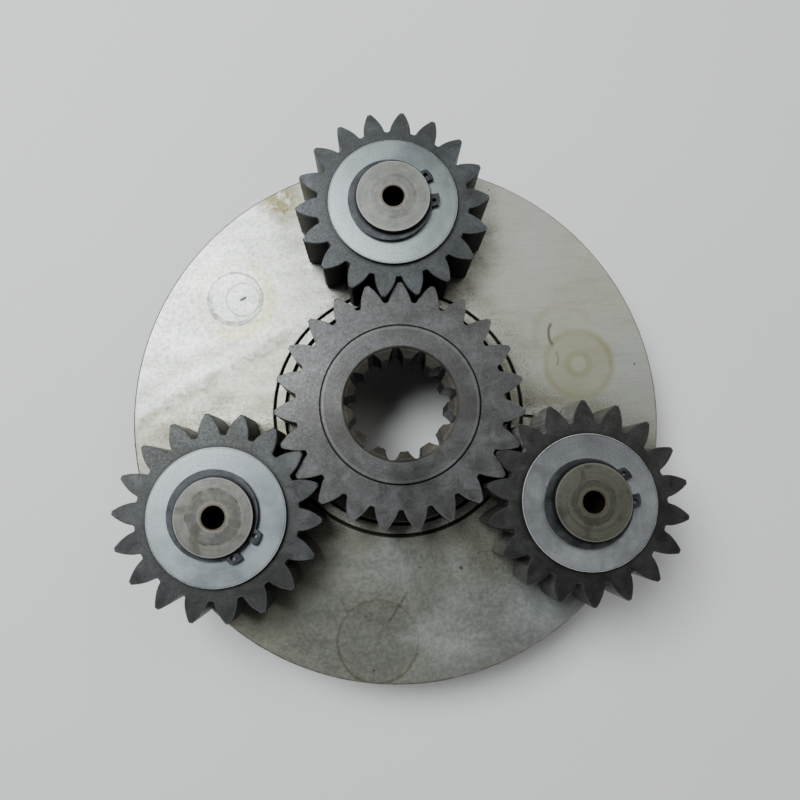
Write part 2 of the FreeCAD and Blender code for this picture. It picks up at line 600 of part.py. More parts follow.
    # ---------------------------------------------------- retaining ring
    rr = new_body("retaining_ring_" + tag)
    sk = sketch(rr, "ring_outline_" + tag)
    g = sk.addGeometry(Part.Circle(V(-D["ring_shift"], 0, 0), V(0, 0, 1), D["ring_out"]), False)
    c = sk.addConstraint(Sketcher.Constraint("Radius", g, D["ring_out"]))
    sk.setExpression("Constraints[%d]" % c, "Dimensions.ring_out")
    circle(sk, "Dimensions.groove_rad", D["groove_rad"])
    pad(rr, sk, "ring_body_" + tag, "Dimensions.ring_thick")
    for side in (1.0, -1.0):
        sk = sketch(rr, "lug_outline_%s_%s" % (tag, "p" if side > 0 else "n"))
        a_in, a_out = math.radians(10.7 * side), math.radians(29.5 * side)
        r_lo, r_hi = D["groove_rad"] + 0.25, D["lug_out"]
        p1, p2 = pol(r_lo, a_in * 0.98), pol(r_hi - 0.25, a_in * 0.92)
        p3, p4 = pol(r_hi - 0.35, a_out * 0.86), pol(r_lo, a_out * 1.12)
        pm = pol(r_hi, 0.5 * (a_in * 0.92 + a_out * 0.86))
        q = [V(a[0], a[1], 0) for a in (p1, p2, pm, p3, p4)]
        sk.addGeometry(Part.LineSegment(q[0], q[1]), False)
        sk.addGeometry(Part.Arc(q[1], q[2], q[3]), False)
        sk.addGeometry(Part.LineSegment(q[3], q[4]), False)
        sk.addGeometry(Part.LineSegment(q[4], q[0]), False)
        pad(rr, sk, "lug_%s_%s" % (tag, "p" if side > 0 else "n"), "Dimensions.ring_thick")
    sk = sketch(rr, "gap_outline_" + tag, "Dimensions.ring_thick")
    h1 = 13.0 * math.tan(math.radians(10.7))
    h2 = 20.0 * math.tan(math.radians(9.8))
    q = [V(12.0, -h1, 0), V(20.0, -h2, 0), V(20.0, h2, 0), V(12.0, h1, 0)]
    for i in range(4):
        sk.addGeometry(Part.LineSegment(q[i], q[(i + 1) % 4]), False)
    pocket(rr, sk, "gap_cut_" + tag)
    sk = sketch(rr, "plier_holes_" + tag, "Dimensions.ring_thick")
    for side in (1.0, -1.0):
        x, y = pol(16.75, math.radians(19.9 * side))
        circle(sk, "Dimensions.lug_hole", D["lug_hole"], x, y)
    pocket(rr, sk, "plier_hole_cut_" + tag)
    rr.Placement = FreeCAD.Placement(V(px, py, TOP + D["groove_low"] + 0.05), FreeCAD.Rotation(V(0, 0, 1), RING_GAP[tag]))

    # ------------------------------------------------ needle cage, rollers
    cage = new_body("needle_cage_" + tag)
    sk = sketch(cage, "cage_outline_" + tag)
    circle(sk, "Dimensions.cage_out", D["cage_out"])
    circle(sk, "Dimensions.cage_in", D["cage_in"])
    pad(cage, sk, "cage_ring_" + tag, "Dimensions.cage_long")
    sk = sketch(cage, "pocket_outline_" + tag, None, "XZ_Plane")
    wide = D["roller_rad"] + 0.08
    z0 = 0.5 * (D["cage_long"] - D["roller_long"]) - 0.1
    z1 = D["cage_long"] - z0
    q = [V(-wide, z0, 0), V(wide, z0, 0), V(wide, z1, 0), V(-wide, z1, 0)]
    for i in range(4):
        sk.addGeometry(Part.LineSegment(q[i], q[(i + 1) % 4]), False)
    p = pocket(cage, sk, "pocket_cut_" + tag, "Dimensions.cage_out + 1")
    polar(cage, [p], "pocket_pattern_" + tag, "Dimensions.roller_count")
    zb = TOP + D["planet_lift"] + 0.5 * (D["planet_face"] - D["cage_long"])
    cage.Placement = FreeCAD.Placement(V(px, py, zb), FreeCAD.Rotation(V(0, 0, 1), ang))

    rollers = []
    rm = 0.5 * (D["pin_rad"] + D["planet_bore"])
    zr = TOP + D["planet_lift"] + 0.5 * (D["planet_face"] - D["roller_long"])
    n = int(D["roller_count"])
    for i in range(n):
        a = math.radians(ang + 90.0 + 360.0 * i / n)
        cyl = doc.addObject("Part::Cylinder", "needle_%s_%02d" % (tag, i + 1))
        cyl.setExpression("Radius", "Dimensions.roller_rad")
        cyl.setExpression("Height", "Dimensions.roller_long")
        cyl.Placement = FreeCAD.Placement(V(px + rm * math.cos(a), py + rm * math.sin(a), zr), FreeCAD.Rotation())
        rollers.append(cyl)
    pack = doc.addObject("Part::Compound", "needle_rollers_" + tag)
    pack.Label = "needle_rollers_" + tag
    pack.Links = rollers

    # ---------------------------------------------------------- lock pin
    lp = new_body("lock_pin_" + tag)
    sk = sketch(lp, "tube_outline_" + tag)
    circle(sk, "Dimensions.lock_rad", D["lock_rad"])
    circle(sk, "Dimensions.lock_rad - Dimensions.lock_wall", D["lock_rad"] - D["lock_wall"])
    pad(lp, sk, "tube_" + tag, "Dimensions.lock_long")
    sk = sketch(lp, "split_outline_" + tag, "Dimensions.lock_long")
    q = [V(0, -0.45, 0), V(4.0, -0.45, 0), V(4.0, 0.45, 0), V(0, 0.45, 0)]
    for i in range(4):
        sk.addGeometry(Part.LineSegment(q[i], q[(i + 1) % 4]), False)
    pocket(lp, sk, "split_cut_" + tag)
    turn = FreeCAD.Rotation(V(0, 0, 1), ang).multiply(FreeCAD.Rotation(V(0, 1, 0), 90))
    start = D["lock_outer"] - D["lock_long"]
    lx, ly = pol(start, math.radians(ang))
    lp.Placement = FreeCAD.Placement(V(lx, ly, D["hub_drop"] + 0.5 * D["plate_thick"]), turn)

doc.recompute()

# ------------------------------------------------------------ test and write
nodes = [o for o in doc.Objects if o.TypeId == "PartDesign::Body" or o.TypeId == "Part::Compound"]
bad = []
for o in doc.Objects:
    if "Invalid" in o.State or "Error" in o.State:
        bad.append("%s %s" % (o.Name, o.State))
for o in nodes:
    if o.Shape.isNull() or not o.Shape.isValid():
        bad.append(o.Label + " has no valid shape")
    elif o.TypeId == "PartDesign::Body" and len(o.Shape.Solids) != 1:
        bad.append("%s holds %d solids" % (o.Label, len(o.Shape.Solids)))
if bad:
    raise RuntimeError("; ".join(bad))
os.makedirs("parts", exist_ok=True)
for o in nodes:
    o.Shape.exportStep("parts/%s.step" % o.Label)
print(len(nodes), "nodes written")
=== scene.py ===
import math
import bpy
from mathutils import Matrix, Vector


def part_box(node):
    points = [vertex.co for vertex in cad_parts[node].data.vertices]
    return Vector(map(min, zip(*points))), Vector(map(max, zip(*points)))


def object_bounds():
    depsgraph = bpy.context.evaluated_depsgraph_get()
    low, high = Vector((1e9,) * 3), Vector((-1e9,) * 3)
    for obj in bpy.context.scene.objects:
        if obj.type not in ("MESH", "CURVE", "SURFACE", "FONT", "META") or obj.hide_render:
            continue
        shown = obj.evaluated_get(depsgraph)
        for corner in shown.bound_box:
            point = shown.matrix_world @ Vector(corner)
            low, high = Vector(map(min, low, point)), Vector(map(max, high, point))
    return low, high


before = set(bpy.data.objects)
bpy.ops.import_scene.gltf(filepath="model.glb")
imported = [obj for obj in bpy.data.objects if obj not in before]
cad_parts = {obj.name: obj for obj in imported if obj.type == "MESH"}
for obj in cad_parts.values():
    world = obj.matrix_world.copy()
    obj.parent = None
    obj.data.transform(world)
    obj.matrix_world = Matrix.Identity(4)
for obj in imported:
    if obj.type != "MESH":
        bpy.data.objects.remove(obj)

CAD_BOX = [list(v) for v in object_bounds()]
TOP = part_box("carrier_plate")[1].z              # the plate's upper face
AXIS = {}
for tag in "abc":
    lo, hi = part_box("planet_pin_" + tag)
    AXIS[tag] = ((lo.x + hi.x) / 2, (lo.y + hi.y) / 2)


# =========================================================== node helpers
class Mat:
    """a small builder for procedural materials"""

    def __init__(self, name):
        self.m = bpy.data.materials.new(name)
        self.m.use_nodes = True
        self.t = self.m.node_tree
        self.t.nodes.clear()
        self.out = self.t.nodes.new("ShaderNodeOutputMaterial")
        self.bsdf = self.t.nodes.new("ShaderNodeBsdfPrincipled")
        self.t.links.new(self.bsdf.outputs["BSDF"], self.out.inputs["Surface"])
        self.coord = self.t.nodes.new("ShaderNodeTexCoord").outputs["Object"]
        self.geo = self.t.nodes.new("ShaderNodeNewGeometry")

    def node(self, kind, **props):
        n = self.t.nodes.new(kind)
        for k, v in props.items():
            setattr(n, k, v)
        return n

    def put(self, socket, value):
        if isinstance(value, bpy.types.NodeSocket):
            self.t.links.new(value, socket)
        else:
            socket.default_value = value

    def math(self, op, a, b=0.0, c=0.0, clamp=False):
        n = self.node("ShaderNodeMath", operation=op, use_clamp=clamp)
        self.put(n.inputs[0], a)
        self.put(n.inputs[1], b)
        self.put(n.inputs[2], c)
        return n.outputs[0]

    def vmath(self, op, a, b=None, scale=None):
        n = self.node("ShaderNodeVectorMath", operation=op)
        self.put(n.inputs[0], a)
        if b is not None:
            self.put(n.inputs[1], b)
        if scale is not None:
            self.put(n.inputs["Scale"], scale)
        return n.outputs["Value"] if op in ("LENGTH", "DISTANCE", "DOT_PRODUCT") else n.outputs["Vector"]

    def noise(self, scale, detail=3.0, rough=0.55, vector=None, distortion=0.0, kind="FBM"):
        n = self.node("ShaderNodeTexNoise", noise_dimensions="3D", noise_type=kind)
        self.put(n.inputs["Vector"], vector if vector is not None else self.coord)
        n.inputs["Scale"].default_value = scale
        n.inputs["Detail"].default_value = detail
        n.inputs["Roughness"].default_value = rough
        n.inputs["Distortion"].default_value = distortion
        return n.outputs["Fac"]

    def voronoi(self, scale, vector=None, feature="F1", rand=1.0):
        n = self.node("ShaderNodeTexVoronoi", feature=feature)
        self.put(n.inputs["Vector"], vector if vector is not None else self.coord)
        n.inputs["Scale"].default_value = scale
        n.inputs["Randomness"].default_value = rand
        return n.outputs["Distance"]

    def ramp(self, fac, stops, mode="LINEAR"):
        n = self.node("ShaderNodeValToRGB")
        n.color_ramp.interpolation = mode
        while len(n.color_ramp.elements) > 2:
            n.color_ramp.elements.remove(n.color_ramp.elements[-1])
        els = n.color_ramp.elements
        while len(els) < len(stops):
            els.new(0.5)
        for e, (p, c) in zip(els, stops):
            e.position = p
            e.color = (*c, 1.0) if isinstance(c, (tuple, list)) else (c, c, c, 1.0)
        self.put(n.inputs["Fac"], fac)
        return n.outputs["Color"]

    def span(self, value, a, b, lo=0.0, hi=1.0, smooth=True):
        n = self.node("ShaderNodeMapRange", clamp=True)
        n.interpolation_type = "SMOOTHSTEP" if smooth else "LINEAR"
        self.put(n.inputs["Value"], value)
        n.inputs["From Min"].default_value = a
        n.inputs["From Max"].default_value = b
        n.inputs["To Min"].default_value = lo
        n.inputs["To Max"].default_value = hi
        return n.outputs["Result"]

    def mix(self, fac, a, b, blend="MIX"):
        n = self.node("ShaderNodeMix", data_type="RGBA", blend_type=blend, clamp_factor=True)
        self.put(n.inputs["Factor"], fac)
        for i, v in ((6, a), (7, b)):
            if isinstance(v, (tuple, list)):
                v = (*v, 1.0) if len(v) == 3 else v
            self.put(n.inputs[i], v)
        return n.outputs[2]

    def xyz(self, vector=None):
        n = self.node("ShaderNodeSeparateXYZ")
        self.put(n.inputs[0], vector if vector is not None else self.coord)
        return n.outputs

    def vec(self, x, y, z):
        n = self.node("ShaderNodeCombineXYZ")
        self.put(n.inputs[0], x)
        self.put(n.inputs[1], y)
        self.put(n.inputs[2], z)
        return n.outputs[0]

    def polar(self, cx, cy):
        """(radius, angle, z) about a vertical axis, in metres and turns"""
        s = self.xyz()
        x = self.math("SUBTRACT", s[0], cx)
        y = self.math("SUBTRACT", s[1], cy)
        r = self.math("SQRT", self.math("ADD", self.math("MULTIPLY", x, x), self.math("MULTIPLY", y, y)))
        a = self.math("DIVIDE", self.math("ARCTAN2", y, x), 2 * math.pi)
        return r, a, s[2], x, y

    def bump(self, height, strength, distance, normal=None):
        n = self.node("ShaderNodeBump")
        n.inputs["Strength"].default_value = strength
        n.inputs["Distance"].default_value = distance
        self.put(n.inputs["Height"], height)
        if normal is not None:
            self.put(n.inputs["Normal"], normal)
        return n.outputs["Normal"]

    def set(self, **kw):
        for k, v in kw.items():
            self.put(self.bsdf.inputs[k.replace("_", " ")], v)

    def colour(self, v):
        self.put(self.bsdf.inputs["Base Color"], (*v, 1.0) if isinstance(v, (tuple, list)) else v)

    def up(self):
        return self.xyz(self.geo.outputs["Normal"])[2]


def dress(node, mat):
    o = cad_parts[node]
    o.data.materials.clear()
    o.data.materials.append(mat)


# ============================================================== materials
def gap_ring(m, r, r0, half, soft):
    """1 on a ring of radius r0 and half width half, fading over soft"""
    d = m.math("ABSOLUTE", m.math("SUBTRACT", r, r0))
    return m.span(d, half, half + soft, 1.0, 0.0)


def spot(m, cx, cy, wobble=None, amount=0.0):
    """distance from a point on a level face, its radius made uneven by wobble"""
    r, a, z, x, y = m.polar(cx, cy)
    if wobble is not None:
        r = m.math("ADD", r, m.math("MULTIPLY", m.math("SUBTRACT", wobble, 0.5), amount))
    return r, a, x, y


def stroke(m, p, q, wobble, amount, w0, w1):
    """1 along a short line from p to q on a level face"""
    s = m.xyz()
    dx, dy = q[0] - p[0], q[1] - p[1]
    size = dx * dx + dy * dy
    x = m.math("SUBTRACT", s[0], p[0])
    y = m.math("SUBTRACT", s[1], p[1])
    t = m.math("ADD", mul(m, x, dx / size), mul(m, y, dy / size), clamp=True)
    x = m.math("SUBTRACT", x, mul(m, t, dx))
    y = m.math("SUBTRACT", y, mul(m, t, dy))
    d = m.math("SQRT", m.math("ADD", mul(m, x, x), mul(m, y, y)))
    d = m.math("ADD", d, mul(m, m.math("SUBTRACT", wobble, 0.5), amount))
    return m.span(d, w0, w1, 1.0, 0.0)


def arc_window(m, ang, mid, half, soft):
    """1 where the angle (in turns) is within half of mid"""
    d = m.math("SUBTRACT", ang, mid)
    d = m.math("ABSOLUTE", m.math("SUBTRACT", m.math("FRACT", m.math("ADD", d, 1.5)), 0.5))
    return m.span(d, half, half + soft, 1.0, 0.0)


def mul(m, *vals):
    out = vals[0]
    for v in vals[1:]:
        out = m.math("MULTIPLY", out, v)
    return out


def tint(m, base, k):
    """scales a colour by one number or by a colour"""
    k = (k, k, k) if isinstance(k, (int, float)) else k
    return m.mix(1.0, base, k, "MULTIPLY")


def wall(m):
    """1 on upright faces, 0 on level ones"""
    return m.span(m.math("ABSOLUTE", m.up()), 0.25, 0.85, 1.0, 0.0)


def plate_material(name, hub=False):
    m = Mat(name)
    r, a, z, x, y = m.polar(0.0, 0.0)
    up = m.up()
    blotch = m.noise(17.0, 4.0, 0.62)
    rot3 = m.node("ShaderNodeMapping")
    m.put(rot3.inputs["Vector"], m.coord)
    rot3.inputs["Rotation"].default_value = (0.0, 0.0, math.radians(-34.0))
    rot3.inputs["Scale"].default_value = (30.0, 88.0, 60.0)
    mid = m.noise(1.0, 5.0, 0.62, vector=rot3.outputs["Vector"], distortion=0.3)
    fine = m.noise(700.0, 4.0, 0.65)
    grain = m.noise(2600.0, 2.0, 0.6)
    wob = m.noise(45.0, 3.0, 0.6)
    wob2 = m.noise(230.0, 3.0, 0.6)
    # broad wipe marks that run up and to the right
    rot = m.node("ShaderNodeMapping")
    m.put(rot.inputs["Vector"], m.coord)
    rot.inputs["Rotation"].default_value = (0.0, 0.0, math.radians(-32.0))
    rot.inputs["Scale"].default_value = (9.0, 75.0, 9.0)
    wipe = m.noise(1.0, 4.0, 0.55, vector=rot.outputs["Vector"])
    rot2 = m.node("ShaderNodeMapping")
    m.put(rot2.inputs["Vector"], m.coord)
    rot2.inputs["Rotation"].default_value = (0.0, 0.0, math.radians(-38.0))
    rot2.inputs["Scale"].default_value = (60.0, 1500.0, 60.0)
    scratch = m.noise(1.0, 3.0, 0.6, vector=rot2.outputs["Vector"])

    base = m.ramp(blotch, [(0.30, (0.520, 0.515, 0.440)), (0.48, (0.600, 0.600, 0.535)),
                           (0.62, (0.640, 0.648, 0.610)), (0.80, (0.660, 0.672, 0.650))])
    # the disc is paler towards the upper left, duller and yellower towards the right
    side = m.span(m.math("ADD", mul(m, x, -1.0), mul(m, y, 0.45)), -0.05, 0.09)
    base = m.mix(mul(m, side, 0.75), base, (0.715, 0.735, 0.720))
    base = m.mix(mul(m, m.span(mid, 0.46, 0.74, 0.0, 0.36), m.span(side, 0.0, 1.0, 1.0, 0.42, smooth=False)), base, (0.430, 0.422, 0.345))
    base = m.mix(m.span(wipe, 0.50, 0.72, 0.0, 0.30), base, (0.740, 0.745, 0.720))
    base = m.mix(m.span(wipe, 0.46, 0.30, 0.0, 0.26), base, (0.400, 0.395, 0.340))
    base = m.mix(m.span(scratch, 0.54, 0.72, 0.0, 0.34), base, (0.400, 0.398, 0.360))
    base = m.mix(m.span(scratch, 0.45, 0.28, 0.0, 0.34), base, (0.800, 0.810, 0.800))
    base = m.mix(m.span(fine, 0.56, 0.78, 0.0, 0.28), base, (0.330, 0.320, 0.265))
    base = m.mix(m.span(grain, 0.58, 0.80, 0.0, 0.22), base, (0.300, 0.300, 0.270))
    # pits and specks
    v = m.voronoi(330.0)
    pick = m.span(m.noise(38.0, 3.0), 0.50, 0.62)
    base = m.mix(mul(m, m.span(v, 0.050, 0.090, 1.0, 0.0), pick, 0.75), base, (0.115, 0.105, 0.080))
    v2 = m.voronoi(75.0)
    base = m.mix(mul(m, m.span(v2, 0.028, 0.048, 1.0, 0.0), 0.80), base, (0.075, 0.070, 0.055))

    # oily dirt and painted contact shade round the sun and under the edges of the planets
    sun_grime_and_shade = m.span(r, 0.054, 0.071, 1.0, 0.0)
    calm = m.span(side, 0.0, 1.0, 1.0, 0.45, smooth=False)
    base = m.mix(mul(m, sun_grime_and_shade, calm, m.span(mid, 0.36, 0.62), 0.62), base, (0.275, 0.262, 0.190))
    speck = m.span(m.noise(1150.0, 3.0, 0.7), 0.50, 0.63)
    base = m.mix(mul(m, sun_grime_and_shade, calm, speck, 0.55), base, (0.140, 0.130, 0.090))
    # the edge of a wiped area runs up and right; below it the film is left on
    drag = m.math("ADD", m.math("SUBTRACT", m.math("SUBTRACT", y, mul(m, x, 0.572)), 0.0612), mul(m, m.math("SUBTRACT", wob, 0.5), 0.008))
    leftish = m.span(x, -0.036, -0.056)
    base = m.mix(mul(m, m.span(drag, 0.0015, -0.0035), leftish, m.span(mid, 0.28, 0.66, 0.50, 1.0), 0.62), base, (0.370, 0.355, 0.240))
    base = m.mix(mul(m, m.span(m.math("ABSOLUTE", drag), 0.0010, 0.0050, 1.0, 0.0), leftish, m.span(wob2, 0.30, 0.60, 0.35, 1.0), 0.74), base, (0.240, 0.228, 0.145))
    base = m.mix(mul(m, m.span(m.math("ABSOLUTE", m.math("SUBTRACT", drag, 0.013)), 0.0010, 0.0042, 1.0, 0.0), leftish, 0.26), base, (0.400, 0.390, 0.300))
    low = m.span(y, 0.03, -0.05)
    for tag in "abc":
        cx, cy = AXIS[tag]
        d, da, dx, dy = spot(m, cx, cy, wob, 0.016)
        # darker round each planet's foot: oily dirt and painted contact shade
        planet_grime_and_shade = m.span(d, 0.041, 0.0545, 1.0, 0.0)
        amt = {"a": 0.42, "b": 0.72, "c": 0.58}[tag]
        base = m.mix(mul(m, planet_grime_and_shade, m.span(mid, 0.30, 0.58), amt), base, (0.235, 0.222, 0.160))
        base = m.mix(mul(m, planet_grime_and_shade, speck, amt * 0.80), base, (0.085, 0.078, 0.055))
        # swept grime inside the orbit, thinner further out
        wide = m.span(d, 0.046, 0.074, 1.0, 0.0)
        base = m.mix(mul(m, wide, m.span(wob, 0.40, 0.70), amt * 0.45), base, (0.340, 0.325, 0.250))

    if not hub:
        # rub mark with two dark rings, a speck and a pale yellow halo
        q, qa, qx, qy = spot(m, -0.0700, 0.0517, wob2, 0.0011)
        halo = gap_ring(m, q, 0.0158, 0.0012, 0.0026)
        base = m.mix(mul(m, halo, m.math("MAXIMUM", arc_window(m, qa, -0.08, 0.20, 0.14), 0.40), 0.60), base, (0.560, 0.530, 0.290))
        inside = m.span(q, 0.0112, 0.0121, 1.0, 0.0)
        base = m.mix(mul(m, inside, 0.20), base, (0.560, 0.575, 0.570))
        ring = gap_ring(m, q, 0.0119, 0.00022, 0.00060)
        patchy = m.span(m.noise(420.0, 3.0, 0.6), 0.34, 0.60, 0.55, 0.95)
        base = m.mix(mul(m, ring, patchy, 0.85), base, (0.205, 0.208, 0.195))
        lowarc = mul(m, gap_ring(m, q, 0.0108, 0.00018, 0.0008), arc_window(m, qa, -0.345, 0.145, 0.07))
        base = m.mix(mul(m, lowarc, patchy, 0.80), base, (0.185, 0.188, 0.175))
        q2, qb, _, _ = spot(m, -0.0665, 0.0513, wob2, 0.0010)
        ring = gap_ring(m, q2, 0.0074, 0.00016, 0.00050)
        base = m.mix(mul(m, ring, patchy, 0.78), base, (0.215, 0.218, 0.205))
        base = m.mix(mul(m, stroke(m, (-0.0674, 0.0512), (-0.0657, 0.0520), wob2, 0.0006, 0.0004, 0.0009), 0.92), base, (0.040, 0.042, 0.040))
        # yellow disc of dried oil with a pale eye, and a ghost of it above
        q, qa, _, _ = spot(m, 0.0800, 0.0178, wob2, 0.0013)
        film = m.span(q, 0.0145, 0.0158, 1.0, 0.0)
        base = m.mix(mul(m, film, m.span(mid, 0.25, 0.75, 0.30, 0.60)), base, (0.480, 0.460, 0.290))
        base = m.mix(mul(m, gap_ring(m, q, 0.0148, 0.0003, 0.0020), m.span(mid, 0.30, 0.62, 0.55, 1.0), 0.50), base, (0.400, 0.365, 0.190))
        base = m.mix(mul(m, gap_ring(m, q, 0.0049, 0.0007, 0.0013), 0.42), base, (0.430, 0.400, 0.225))
        base = m.mix(m.span(q, 0.0026, 0.0038, 0.42, 0.0), base, (0.660, 0.655, 0.580))
        q, qa, _, _ = spot(m, 0.0748, 0.0312, wob2, 0.0014)
        outer = mul(m, gap_ring(m, q, 0.0134, 0.0005, 0.0022), arc_window(m, qa, 0.32, 0.22, 0.06))
        base = m.mix(mul(m, outer, m.span(mid, 0.30, 0.62, 0.45, 1.0), 0.38), base, (0.450, 0.420, 0.270))
        base = m.mix(mul(m, m.span(q, 0.0120, 0.0140, 1.0, 0.0), 0.15), base, (0.520, 0.505, 0.380))
        # two brown crescents beside it
        q, qa, _, _ = spot(m, 0.0760, 0.0315, wob2, 0.0006)
        cres = mul(m, gap_ring(m, q, 0.0084, 0.00042, 0.00045), arc_window(m, qa, 0.5, 0.085, 0.03))
        base = m.mix(mul(m, cres, 0.80), base, (0.185, 0.160, 0.115))
        q, qa, _, _ = spot(m, 0.0650, 0.0205, wob2, 0.0006)
        cres = mul(m, gap_ring(m, q, 0.0062, 0.00018, 0.00035), arc_window(m, qa, 0.0, 0.065, 0.03))
        base = m.mix(mul(m, cres, 0.62), base, (0.235, 0.195, 0.130))
        # dull patch and a thin brown ring near the lower edge
        q, qa, qx, qy = spot(m, -0.0123, -0.0957, wob2, 0.0010)
        dull = mul(m, m.span(q, 0.009, 0.0185, 1.0, 0.0), m.span(mid, 0.28, 0.66, 0.35, 1.0))
        base = m.mix(mul(m, dull, 0.36), base, (0.260, 0.262, 0.250))
        base = m.mix(mul(m, gap_ring(m, q, 0.0166, 0.00022, 0.00055), 0.58), base, (0.255, 0.225, 0.120))
        base = m.mix(mul(m, m.span(q, 0.0160, 0.0168, 1.0, 0.0), 0.18), base, (0.300, 0.300, 0.270))
        for p0, p1, k in (((-0.0272, -0.0782), (-0.0245, -0.0835), 0.60), ((0.0006, -0.0766), (-0.0032, -0.0822), 0.85),
                          ((-0.0032, -0.0822), (-0.0072, -0.0876), 0.70), ((-0.0190, -0.0840), (-0.0150, -0.0872), 0.45)):
            line = stroke(m, p0, p1, wob2, 0.0012, 0.0001, 0.0010)
            base = m.mix(mul(m, line, patchy, k), base, (0.120, 0.112, 0.080))
        # painted sheen: pale highlight patches near the lower edge, one bluish at the lower right, and a darker patch
        # at the lower left
        q, _, _, _ = spot(m, 0.0190, -0.0900, wob, 0.012)
        base = m.mix(m.span(q, 0.002, 0.028, 0.78, 0.0), base, (0.880, 0.885, 0.865))
        q, _, _, _ = spot(m, 0.0560, -0.0880, wob, 0.012)
        base = m.mix(m.span(q, 0.004, 0.028, 0.70, 0.0), base, (0.800, 0.845, 0.880))
        q, _, _, _ = spot(m, -0.0050, -0.0640, wob, 0.010)
        base = m.mix(m.span(q, 0.002, 0.020, 0.55, 0.0), base, (0.760, 0.785, 0.790))
        q, _, _, _ = spot(m, -0.0380, -0.0900, wob, 0.014)
        base = m.mix(m.span(q, 0.004, 0.024, 0.36, 0.0), base, (0.250, 0.248, 0.225))
        # brown stain at the upper left, by the top planet
        q, qa, _, _ = spot(m, -0.0500, 0.0975, wob, 0.014)
        stain = m.span(q, 0.003, 0.0135, 1.0, 0.0)
        base = m.mix(mul(m, stain, m.span(m.noise(190.0, 4.0, 0.65), 0.30, 0.54, 0.25, 1.0), 0.90), base, (0.205, 0.172, 0.070))
        base = m.mix(mul(m, stain, m.span(m.noise(320.0, 4.0, 0.65), 0.56, 0.66), 0.80), base, (0.085, 0.068, 0.034))
        for cx, cy, rad in ((0.0062, -0.0665, 0.0007), (0.0236, -0.0676, 0.0010), (-0.0610, -0.0505, 0.0011), (0.1050, 0.0170, 0.0007)):
            q, _, _, _ = spot(m, cx, cy, wob2, 0.0010)
            base = m.mix(m.span(q, rad * 0.55, rad, 0.88, 0.0), base, (0.050, 0.046, 0.036))
        # darker smoky mottling over the lower half, strongest in a band below the centre
        smoke = m.noise(24.0, 5.0, 0.62, distortion=0.7)
        base = m.mix(mul(m, low, m.span(smoke, 0.42, 0.68), 0.34), base, (0.245, 0.243, 0.215))
        film = mul(m, m.span(y, -0.030, -0.064), m.span(m.math("ABSOLUTE", m.math("ADD", x, 0.012)), 0.020, 0.060, 1.0, 0.0))
        film = mul(m, film, m.span(y, -0.098, -0.084))
        base = m.mix(mul(m, film, m.span(smoke, 0.30, 0.60, 0.65, 1.0), 0.56), base, (0.230, 0.229, 0.200))
        # the rim's corner is stained reddish brown
        rim = m.span(r, 0.1124, 0.1129)
        base = m.mix(mul(m, rim, m.span(wob2, 0.25, 0.6, 0.45, 0.92)), base, (0.085, 0.045, 0.032))
        # black grease where the plate meets the hub flange and along the slot; the faces down inside them are painted
        # shade
        joint = m.span(r, 0.0540, 0.0544, 1.0, 0.0)
        base = m.mix(mul(m, joint, 0.85), base, (0.020, 0.019, 0.016))
        crack = mul(m, m.span(m.math("ABSOLUTE", m.math("ADD", y, m.math("ADD", mul(m, x, 0.118), -0.0031))), 0.0002, 0.0005, 1.0, 0.0),
                    m.span(x, 0.0590, 0.0596), m.span(x, 0.0655, 0.0670, 1.0, 0.0))
        base = m.mix(mul(m, crack, 0.85), base, (0.030, 0.028, 0.022))
        # faces below the top, inside the groove and the slot, painted near-black as shade
        sunk_face_shade = m.span(z, TOP - 0.0010, TOP - 0.0004, 1.0, 0.0)
        nearslot = m.span(r, 0.0615, 0.0620, 1.0, 0.0)
        base = m.mix(mul(m, sunk_face_shade, nearslot, 0.92), base, (0.018, 0.017, 0.014))
    else:
        edge = m.math("MAXIMUM", m.span(r, 0.0522, 0.0527), m.span(r, 0.0492, 0.0489))
        onface = m.span(z, TOP - 0.0004, TOP - 0.0001)
        base = m.mix(mul(m, edge, onface, 0.45), base, (0.100, 0.095, 0.070))
        # faces down in the gap inside the flange painted near-black as shade
        gap_wall_shade = mul(m, m.span(z, TOP - 0.0006, TOP - 0.0002, 1.0, 0.0), m.span(z, 0.020, 0.024), m.span(r, 0.0480, 0.0484))
        base = m.mix(mul(m, gap_wall_shade, 0.94), base, (0.014, 0.013, 0.011))
        inner = m.span(r, 0.0355, 0.0345, 0.0, 1.0)
        base = m.mix(mul(m, inner, m.span(mid, 0.30, 0.60), 0.70), base, (0.190, 0.175, 0.125))
    # upright and underside faces: duller, with turning marks round the axis
    turned = m.noise(1.0, 2.0, 0.5, vector=m.vec(mul(m, r, 3400.0), mul(m, z, 3400.0), mul(m, a, 1.5)))
    sidecol = m.ramp(turned, [(0.30, (0.235, 0.225, 0.190)), (0.55, (0.335, 0.325, 0.285)), (0.80, (0.430, 0.420, 0.380))])
    sidecol = m.mix(m.span(mid, 0.42, 0.72, 0.0, 0.42), sidecol, (0.130, 0.105, 0.075))
    base = m.mix(wall(m), base, sidecol)
    under = m.span(up, -0.5, -0.8)
    undercol = m.mix(m.span(turned, 0.35, 0.70, 0.0, 0.5), (0.520, 0.515, 0.465), (0.370, 0.362, 0.318))
    undercol = m.mix(m.span(mid, 0.44, 0.76, 0.0, 0.30), undercol, (0.235, 0.222, 0.175))
    base = m.mix(under, base, undercol)
    base = tint(m, base, (0.645, 0.666, 0.646))
    m.colour(base)
    rough = m.span(m.math("ADD", mul(m, mid, 0.5), mul(m, blotch, 0.5)), 0.35, 0.62, 0.365, 0.445)
    rough = m.math("ADD", rough, m.span(fine, 0.35, 0.75, -0.03, 0.09))
    m.set(Metallic=0.88, Roughness=rough, Specular_IOR_Level=0.4)
    n1 = m.bump(m.math("ADD", mul(m, fine, 0.8), mul(m, scratch, 0.5)), 0.28, 0.00007)
    n2 = m.bump(mul(m, turned, m.math("MAXIMUM", wall(m), under)), 0.5, 0.00006, n1)
    m.set(Normal=n2)
    return m.m


